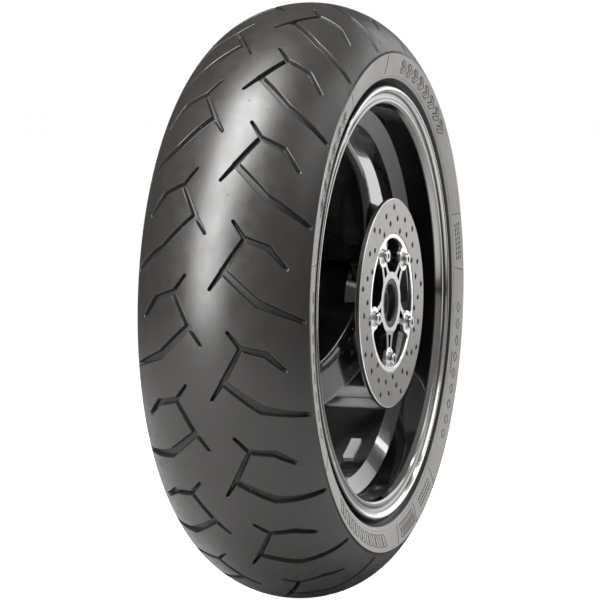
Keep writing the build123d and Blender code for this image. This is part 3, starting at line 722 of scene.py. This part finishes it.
def make_tread(material, groove_shade_material):
    """The tread with its grooves cut in, closed underneath."""
    angle, arc, depth, level, triangles = tread_tile()
    points, faces, normals, slots = [], [], [], []
    index = {}

    def merged(batch):
        out = []
        for p in batch:
            key = (round(p[0], 2), round(p[1], 2), round(p[2], 2))
            if key not in index:
                index[key] = len(points)
                points.append(p)
            out.append(index[key])
        return out

    corner_levels = np.array([[level[k] for k in t] for t in triangles])
    highest = corner_levels.max(axis=1)
    lowest = corner_levels.min(axis=1)
    groups = np.where(highest <= 0, ON_TOP, np.where(lowest <= 0, ON_LIP, IN_GROOVE))
    for side, phase in ((-1, RIGHT_PHASE), (1, LEFT_PHASE)):
        for pitch in range(PITCHES):
            base = phase + pitch * PITCH
            space = on_tread(base + angle, side * arc, depth)
            ids = merged(space)
            _, _, bend = on_crown(side * arc, depth)
            out_x, out_z = clock(base + angle, np.cos(bend))
            surface = np.column_stack((out_x, np.sin(bend), out_z))
            tile_faces, sums = [], {}
            for t, g in zip(triangles, groups):
                f = (ids[t[0]], ids[t[1]], ids[t[2]])
                if len(set(f)) < 3:
                    continue
                a, b, c = space[t[0]], space[t[1]], space[t[2]]
                normal = np.cross(b - a, c - a)
                if np.dot(normal, surface[t[0]]) < 0:
                    f, t, normal = (f[0], f[2], f[1]), (t[0], t[2], t[1]), -normal
                tile_faces.append((f, t, g))
                for v in t:
                    sums[(v, g)] = sums.get((v, g), 0) + normal
            for f, t, g in tile_faces:
                faces.append(f)
                # Groove faces take the darker rubber: painted shade.
                slots.append(1 if g == IN_GROOVE else 0)
                for v in t:
                    normal = surface[v] if g == ON_TOP else sums[(v, g)]
                    normals.append(normal / np.linalg.norm(normal))
    # underside and edges, sharing the outer border's points
    around = PITCHES * AROUND
    # the two sides' borders are half a repeat apart, which is a whole number of steps
    clocks = LEFT_PHASE + TILE_START + np.arange(around) * 360.0 / around
    rings = []
    for row_arc in -EDGE_ARC + 2 * EDGE_ARC * np.arange(UNDER_ROWS + 1) / UNDER_ROWS:
        under = on_tread(clocks, np.full(around, row_arc), np.full(around, TREAD_T))
        rings.append(merged(under))
    top_left = merged(on_tread(clocks, np.full(around, EDGE_ARC), np.zeros(around)))
    top_right = merged(on_tread(clocks, np.full(around, -EDGE_ARC), np.zeros(around)))
    strips = list(zip(rings[1:], rings)) + [(top_left, rings[-1]), (rings[0], top_right)]
    spots = np.array(points)
    for upper, lower in strips:
        for k in range(around):
            m = (k + 1) % around
            face = (upper[k], upper[m], lower[m], lower[k])
            a, b, c = spots[face[0]], spots[face[1]], spots[face[2]]
            normal = np.cross(b - a, c - a)
            faces.append(face)
            slots.append(0)
            normals.extend([normal / np.linalg.norm(normal)] * 4)
    both = [material, groove_shade_material]
    piece = add_piece("tread_grooved", points, faces, "wheel", both, slots, normals)
    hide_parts("tread")


# (clock degrees, arc) of the little vent stubs in one repeat
STUBS = (
    (3.2, 44.0), (5.6, 63.0), (9.4, 74.0), (8.2, 30.0), (13.6, 34.0),
    (12.2, 14.0), (-1.8, 52.0), (2.6, 92.0), (-3.4, 78.0), (10.6, 96.0),
)
STUB_R = 0.75
STUB_FOOT, STUB_TOP = 0.1, -0.25   # depths below the tread's surface


def make_stubs(material):
    """Trimmed vent stubs, scattered over the blocks between the grooves."""
    points, faces = [], []
    sides = 8
    turn = np.radians(np.arange(sides) * 360.0 / sides)
    stub = [(k, (k + 1) % sides, sides + (k + 1) % sides, sides + k) for k in range(sides)]
    stub += [(8, 9, 10, 11), (11, 12, 13, 14), (8, 11, 14, 15)]
    for side, phase in ((-1, RIGHT_PHASE), (1, LEFT_PHASE)):
        shape = [reversed_face(face) for face in stub] if side > 0 else stub
        for pitch in range(PITCHES):
            for angle, arc in STUBS:
                base = phase + pitch * PITCH + angle
                around = base + np.degrees(STUB_R * np.cos(turn) / PATTERN_R)
                arcs = side * (arc + STUB_R * np.sin(turn))
                first = len(points)
                points.extend(on_tread(around, arcs, np.full(sides, STUB_FOOT)))
                points.extend(on_tread(around, arcs, np.full(sides, STUB_TOP)))
                faces += [tuple(first + k for k in face) for face in shape]
    add_piece("vent_stubs", points, faces, "wheel", [material], smooth=False)


# -------- sidewall
SIDEWALL = (
    (262.2, 91.2), (249.5, 89.3), (240.5, 87.0), (239.9, 87.3), (238.9, 86.9), (238.4, 86.2),
    (236.0, 85.5), (234.0, 82.0), (230.5, 78.4), (226.5, 76.2), (218.3, 76.2), (216.97, 61.0),
    (222.0, 60.5), (230.0, 66.0), (238.0, 75.0), (246.0, 79.8),
)
SIDEWALL_RADII = (0, 0, 0.4, 0.5, 0.4, 0.3, 1.5, 2.0, 3.0, 1.5, 1.5, 2.0, 3.0, 4.0, 4.0, 4.0)
CASING_T = 3.8
CASING_GAP = 0.05                  # between the casing and the tread's underside
WALL_FACE = ((236.0, 85.5), (240.5, 87.0), (249.5, 89.3), (262.2, 91.2))


def wall_axial(radius):
    """How far out the sidewall's face is at a radius."""
    return float(np.interp(radius, [r for r, _ in WALL_FACE], [y for _, y in WALL_FACE]))


def make_casing(material):
    """Both sidewalls and the carcass between them, turned."""
    arcs = np.linspace(EDGE_ARC, -EDGE_ARC, 41)
    lining_r, lining_y, _ = on_crown(arcs, np.full(len(arcs), TREAD_T + CASING_T))
    top_r, top_y, _ = on_crown(arcs[::-1], np.full(len(arcs), TREAD_T + CASING_GAP))
    half = rounded(SIDEWALL, SIDEWALL_RADII, 3)
    outline = half + list(zip(lining_r, lining_y)) + [(r, -y) for r, y in reversed(half)]
    outline += list(zip(top_r, top_y))
    piece = lathe("casing_moulded", outline, 360, "wheel", material)
    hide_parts("casing")


class Marks:
    """Thin raised lines lying on a sidewall, gathered into one mesh."""

    LONGEST = 4.0      # a line is cut up to follow the sidewall
    SUNK = 0.02        # its edges start just under the surface

    def __init__(self, side):
        self.side = side
        self.points = []
        self.faces = []

    def spot(self, angle, radius, lift):
        """A point on the sidewall's face, or a little above it."""
        x, z = clock(angle, radius)
        return x, self.side * (wall_axial(radius) + lift), z

    def line(self, path, width=0.55, lift=0.3):
        """A line through (clock degrees, radius) points."""
        for (a0, r0), (a1, r1) in zip(path, path[1:]):
            mean_r, rise = (r0 + r1) / 2, r1 - r0
            reach = math.radians(a1 - a0) * mean_r
            length = math.hypot(reach, rise)
            half_s, half_r = reach / length * width / 2, rise / length * width / 2
            count = max(1, int(length / self.LONGEST))
            start = len(self.points)
            for k in range(count + 1):
                past = 1 if k == count else -1 if k == 0 else 0
                s = reach * k / count + half_s * past
                r = r0 + rise * k / count + half_r * past
                for way, up in ((-1.5, 0.0), (-1, lift), (1, lift), (1.5, 0.0)):
                    angle = a0 + math.degrees((s - half_r * way) / mean_r)
                    self.points.append(self.spot(angle, r + half_s * way, up - self.SUNK))
            for k in range(count):
                for c in range(3):
                    a = start + k * 4 + c
                    self.faces.append((a, a + 1, a + 5, a + 4))
            end = start + count * 4
            self.faces.append((start, start + 1, start + 2, start + 3))
            self.faces.append((end + 3, end + 2, end + 1, end))

    def frame(self, corners, width=0.55):
        self.line(list(corners) + [corners[0]], width)

    def block(self, middle, wide, low, high, lean=0.0):
        """An outlined block with a solid bar inside it."""
        w = wide / 2
        self.frame((
            (middle - w - lean, low), (middle + w - lean, low),
            (middle + w + lean, high), (middle - w + lean, high),
        ))
        self.line(((middle - lean * 0.6, low + 3), (middle + lean * 0.6, high - 3)), 2.6)

    def chevron(self, middle, wide, low, high, lean):
        """An outlined arrowhead with a smaller one beside it."""
        centre = (low + high) / 2
        tip, tail = middle + wide * 0.55 * lean, middle - wide * 0.25 * lean
        shaft, nick = wide * 0.35 * lean, wide * 0.15 * lean
        self.frame((
            (tail, low), (tail + shaft, low), (tip, centre),
            (tail + shaft, high), (tail, high), (tip - shaft, centre),
        ))
        inner_tip = (middle - wide * 0.05 * lean, centre)
        self.line(((tail - nick, low + 2), inner_tip), 1.0)
        self.line((inner_tip, (tail - nick, high - 2)), 1.0)

    def lozenge(self, middle, wide, low, high, width=0.5):
        centre = (low + high) / 2
        left, right = middle - wide / 2, middle + wide / 2
        self.frame(((left, centre), (middle, low), (right, centre), (middle, high)), width)

    def hatch(self, start, end, low, high, count):
        for k in range(count):
            a = start + (end - start) * (k + 0.2) / count
            self.line(((a, low), (a + (end - start) / count * 0.6, high)), 0.45)

    def dashes(self, start, end, radius, count):
        for k in range(count):
            a = start + (end - start) * k / count
            self.line(((a, radius), (a + (end - start) / count * 0.55, radius)), 0.9)


def make_marks(side, material):
    """Panel lines and generic moulded devices, which spell nothing, in dark rubber that paints
    shade along the moulding's edges.
    """
    marks = Marks(side)
    for angle in (4, 186.5, 201, 216.5, 274.5, 289):
        marks.line(((angle, 241.5), (angle - 1.2, 260.5)), 0.5)
    for k in range(8):
        marks.chevron(350.5 - k * 5.0, 4.4, 243.5, 256.5, -1)
    for k in range(7):
        marks.block(141.5 + k * 5.4, 3.9, 244.0, 256.5, lean=0.5)
    for k in range(9):
        marks.lozenge(264.0 - k * 4.3, 2.6, 246.0, 253.5)
    marks.frame(((188.5, 243.5), (199.0, 243.5), (199.0, 249.5), (188.5, 249.5)))
    marks.hatch(189.3, 198.5, 244.5, 248.5, 9)
    marks.frame(((188.5, 251.5), (199.0, 251.5), (199.0, 257.5), (188.5, 257.5)))
    marks.hatch(198.5, 189.3, 252.5, 256.5, 9)
    for radius in (246.0, 250.0, 254.0):
        marks.dashes(204.5, 214.0, radius, 7)
        marks.dashes(276.5, 286.5, radius, 8)
    marks.dashes(252.0, 246.0, 242.6, 6)
    for k in range(6):
        marks.chevron(38.0 + k * 5.0, 4.4, 243.5, 256.5, 1)
    for k in range(8):
        marks.lozenge(84.0 + k * 4.6, 2.8, 246.0, 253.5)
    for angle in (30, 76, 124):
        marks.line(((angle, 241.5), (angle + 1.2, 260.5)), 0.5)
    name = "sidewall_marks_right" if side < 0 else "sidewall_marks_left"
    faces = [reversed_face(face) for face in marks.faces] if side > 0 else marks.faces
    add_piece(name, marks.points, faces, "wheel", [material], smooth=False)


# -------- rim lip
LIP = (
    (207.6, 75.2), (208.3, 76.8), (209.7, 80.0), (211.5, 81.5), (214.5, 81.5), (216.5, 80.4),
    (221.0, 81.4), (223.6, 84.1), (226.4, 84.8), (228.2, 83.4), (228.2, 79.6), (226.0, 77.2),
    (222.0, 77.6), (213.0, 77.6), (209.6, 75.2),
)


LIP_RADII = (0, 1.0, 2.5, 1.2, 1.2, 2.5, 3.0, 1.8, 1.6, 1.2, 1.5, 0, 0, 0, 0)
LIP_SKIN = 0.12                    # how far it stands proud of the CAD rim
LIP_SEEN = 12                      # the outline's later corners are buried in the rim


def make_lip(side, material):
    """The machined skin of one rim edge: inner ridge, hollow and outer bead."""
    corners = np.array(LIP)
    grown = []
    for index, (radius, axial) in enumerate(LIP):
        if index >= LIP_SEEN:
            grown.append((radius, axial))
            continue
        before = corners[index - 1] if index else 2 * corners[0] - corners[1]
        step = corners[index + 1] - before
        step /= np.linalg.norm(step)
        grown.append((radius - step[1] * LIP_SKIN, axial + step[0] * LIP_SKIN))
    outline = [(r, side * y) for r, y in rounded(grown, LIP_RADII, 5)]
    name = "rim_lip_right" if side < 0 else "rim_lip_left"
    lathe(name, outline, 360, "wheel", material, crease=50)


# -------- brake disc
DISC_R = 110.0
DISC_FACE = -91.2
DISC_BACK = -86.2
BAND_IN = 73.4
RING_IN = 68.5
BOLT_R = 59.0
LUG_R = 12.5
BOLT_PHASE = 29.0
VENT_R = 3.0
VENT_ROWS = (84.0, 95.0, 78.0, 89.5, 101.0)
VENT_HOLES = 45
FIRST_VENT = 5
# groups of a plate's faces, from front to back
FRONT_FACE, FRONT_BEVEL, WALL, BACK_BEVEL, BACK_FACE = range(5)
BEVELS = (FRONT_BEVEL, BACK_BEVEL)
BOLTS = 5
BOLT_HOLE_R = 4.25
BEVEL = 0.7
BAND_GAP = 0.02                    # between the band and the ring
RING_RELIEF = 0.3                  # the ring stands back from the band's face
RING_BLEND = 7.0                   # how softly the lugs run into the ring
RING_REACH, RING_STEP = 76, 0.8    # grid on which the ring's inner edge is traced


def circle(x, z, radius, count):
    """Points round a circle, as (x, z)."""
    turn = np.arange(count) * 2 * np.pi / count
    return np.column_stack((x + radius * np.cos(turn), z + radius * np.sin(turn)))


def moved(loop, distance):
    """A loop with each point moved to its left by a distance, along the loop's normals."""
    along = np.roll(loop, -1, axis=0) - np.roll(loop, 1, axis=0)
    along /= np.linalg.norm(along, axis=1)[:, None]
    return loop + np.column_stack((-along[:, 1], along[:, 0])) * distance


def turning(loop):
    """Twice the loop's area, positive when it runs anticlockwise."""
    after = np.roll(loop, -1, axis=0)
    return float(np.sum(loop[:, 0] * after[:, 1] - after[:, 0] * loop[:, 1]))


def plate(name, outer, holes, front, back, material, edge_highlight_material):
    """A flat steel plate between two axial positions, bevelled, its outer bevels painted with a
    highlight. Loops are (x, z).
    """
    loops = []
    for loop, want in [(outer, 1)] + [(hole, -1) for hole in holes]:
        loops.append(loop if turning(loop) * want > 0 else loop[::-1])
    points, faces, groups, rings = [], [], [], []
    way = 1 if back > front else -1
    rows = ((BEVEL, front), (0.0, front + way * BEVEL), (0.0, back - way * BEVEL), (BEVEL, back))
    for loop in loops:
        starts = []
        for inset, axial in rows:
            starts.append(len(points))
            points.extend((x, axial, z) for x, z in moved(loop, inset))
        rings.append(starts)
        count = len(loop)
        for row in range(3):
            here, there = starts[row], starts[row + 1]
            for k in range(count):
                m = (k + 1) % count
                faces.append((here + k, here + m, there + m, there + k))
                groups.append(row + 1)
    for row, group in ((0, FRONT_FACE), (3, BACK_FACE)):
        flat, edges, lookup = [], [], []
        for loop, starts in zip(loops, rings):
            first = len(flat)
            count = len(loop)
            for k in range(count):
                x, _, z = points[starts[row] + k]
                flat.append(Vector((x, z)))
                lookup.append(starts[row] + k)
                edges.append((first + k, first + (k + 1) % count))
        _, _, triangles, origin, _, _ = delaunay_2d_cdt(flat, edges, [], 0, 1e-6, True)
        for triangle in triangles:
            ids = [origin[v][0] for v in triangle]
            mid = sum((np.array(flat[v]) for v in ids), np.zeros(2)) / 3
            if within(mid, loops):
                faces.append(tuple(lookup[v] for v in ids))
                groups.append(group)
    spots = np.array(points)

    def normal_of(face):
        a, b, c = spots[face[0]], spots[face[1]], spots[face[2]]
        return np.cross(b - a, c - a)

    # the walls all run the same way round, so the first of them settles the rest
    wall = faces[groups.index(WALL)]
    walls_inside_out = np.dot(normal_of(wall), spots[wall[0]] * (1, 0, 1)) < 0
    fixed = []
    for face, group in zip(faces, groups):
        if group in (FRONT_FACE, BACK_FACE):
            wrong = normal_of(face)[1] * (-way if group == FRONT_FACE else way) < 0
        else:
            wrong = walls_inside_out
        fixed.append(reversed_face(face) if wrong else face)
    normals = grouped_normals(spots, fixed, groups)
    outer_points = len(rows) * len(loops[0])
    # The outer loop's bevels take the second material, a painted highlight along the edge.
    on_edge_highlight = [int(g in BEVELS and max(face) < outer_points) for face, g in zip(fixed, groups)]
    both = [material, edge_highlight_material]
    return add_piece(name, points, fixed, "wheel", both, on_edge_highlight, normals)


def within(spot, loops):
    """Whether a spot lies inside the outer loop and outside the holes."""
    inside = False
    for loop in loops:
        after = np.roll(loop, -1, axis=0)
        cross = (loop[:, 1] > spot[1]) != (after[:, 1] > spot[1])
        rise = after[:, 1] - loop[:, 1]
        rise = np.where(np.abs(rise) < TINY, TINY, rise)
        hits = spot[0] < loop[:, 0] + (after[:, 0] - loop[:, 0]) * (spot[1] - loop[:, 1]) / rise
        inside ^= bool(np.sum(cross & hits) % 2)
    return inside


def make_disc(band_material, ring_material, edge_highlight_material):
    """The braking band with its drilled holes, and the polished ring with its lugs."""
    holes = []
    for k in range(VENT_HOLES):
        x, z = clock(FIRST_VENT + k * 360 / VENT_HOLES, VENT_ROWS[k % len(VENT_ROWS)])
        holes.append(circle(x, z, VENT_R, 20))
    band = plate(
        "disc_band", circle(0, 0, DISC_R, 300), [circle(0, 0, BAND_IN, 240)] + holes,
        DISC_FACE, DISC_BACK, band_material, edge_highlight_material,
    )
    xs = np.arange(-RING_REACH, RING_REACH + RING_STEP, RING_STEP)
    x, z = xs[:, None], xs[None, :]
    # negative in the steel: outside the ring's inner circle, joined smoothly to the round lugs
    field = RING_IN - np.hypot(x, z)
    bolt_spots = [clock(BOLT_PHASE + k * 360 / BOLTS, BOLT_R) for k in range(BOLTS)]
    for bolt_x, bolt_z in bolt_spots:
        lug = np.hypot(x - bolt_x, z - bolt_z) - LUG_R
        mixed = np.clip(0.5 + 0.5 * (lug - field) / RING_BLEND, 0, 1)
        field = lug * (1 - mixed) + field * mixed - RING_BLEND * mixed * (1 - mixed)
    inner = max((thin_out(loop, 0.04, 2.5) for loop in trace_level(field, 0.0, xs, xs)), key=len)
    bolt_holes = [circle(bolt_x, bolt_z, BOLT_HOLE_R, 24) for bolt_x, bolt_z in bolt_spots]
    ring = plate(
        "disc_mounting_ring", circle(0, 0, BAND_IN - BAND_GAP, 240), [inner] + bolt_holes,
        DISC_FACE + RING_RELIEF, DISC_BACK, ring_material, edge_highlight_material,
    )
    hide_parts("brake_disc")
    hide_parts("brake_disc")


# ======== build
make_camera()
make_floor()
make_surroundings()
for softbox in SOFTBOXES:
    area_light(*softbox)
bpy.context.scene.view_settings.view_transform = "Standard"

tread_rubber = rubber_material("tread_rubber", (0.0135, 0.0125, 0.0118), 0.35)
# Half as light as the tread rubber: painted shade in the grooves; the vent stubs use it too.
groove_shade_rubber = rubber_material("groove_shade_rubber", (0.007, 0.0066, 0.0063), 0.55)
sidewall_rubber = sidewall_material("sidewall_rubber")
lip_metal = lip_painted_light("lip_metal")
# Near-white steel for the disc's outer bevels: a painted highlight along the edge.
disc_edge_highlight = turned_metal("disc_edge_highlight", (0.9, 0.89, 0.88), 0.42)
disc_steel = turned_metal("disc_steel", (0.27, 0.262, 0.255), 0.33)
bolt_steel = cast_metal("bolt_steel", (0.62, 0.61, 0.6), 0.2)
seal_rubber = rubber_material("seal_rubber", (0.02, 0.02, 0.02), 0.5)
alloy = turned_metal("hub_alloy", (0.5, 0.5, 0.5), 0.35)
carrier_alloy = cast_metal("carrier_alloy", (0.35, 0.35, 0.36), 0.42)
sprocket_steel = turned_metal("sprocket_steel", (0.36, 0.35, 0.34), 0.38)
brass = cast_metal("brass", (0.75, 0.58, 0.28), 0.3)
zinc = cast_metal("weight_zinc", (0.92, 0.92, 0.91), 0.4, metallic=0.0)
cap_plastic = rubber_material("cap_plastic", (0.02, 0.02, 0.02), 0.35)
disc_ring_metal = turned_metal("disc_ring_metal", (0.95, 0.95, 0.94), 0.26, dull=0.04)
# Dark rubber for the sidewall's marks: painted shade along the edges of the moulding.
mark_shade_rubber = rubber_material("mark_shade_rubber", (0.022, 0.021, 0.02), 0.6)
wheel_paint = wheel_finish("wheel_paint")

make_tread(tread_rubber, groove_shade_rubber)
make_stubs(groove_shade_rubber)
make_casing(sidewall_rubber)
for side in (-1, 1):
    make_marks(side, mark_shade_rubber)
    make_lip(side, lip_metal)
make_disc(disc_steel, disc_ring_metal, disc_edge_highlight)

NODE_MATERIALS = {
    "casing": sidewall_rubber,
    "wheel": wheel_paint,
    "brake_disc": disc_steel,
    "disc_bolts": bolt_steel,
    "dust_seal": seal_rubber,
    "carrier_seal": seal_rubber,
    "valve_seal": seal_rubber,
    "sprocket_carrier": carrier_alloy,
    "sprocket": sprocket_steel,
    "sprocket_studs": bolt_steel,
    "sprocket_nuts": bolt_steel,
    "balance_weights": zinc,
    "valve_cap": cap_plastic,
    "valve_stem": brass,
    "valve_core": brass,
}


def node_material(name):
    """The material for a part that is shown with its CAD shape."""
    if name in NODE_MATERIALS:
        return NODE_MATERIALS[name]
    if name.startswith("cush") or name.endswith("shields"):
        return seal_rubber
    if name.endswith("cage"):
        return brass
    return alloy


for name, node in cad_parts.items():
    node.data.materials.clear()
    node.data.materials.append(node_material(name))
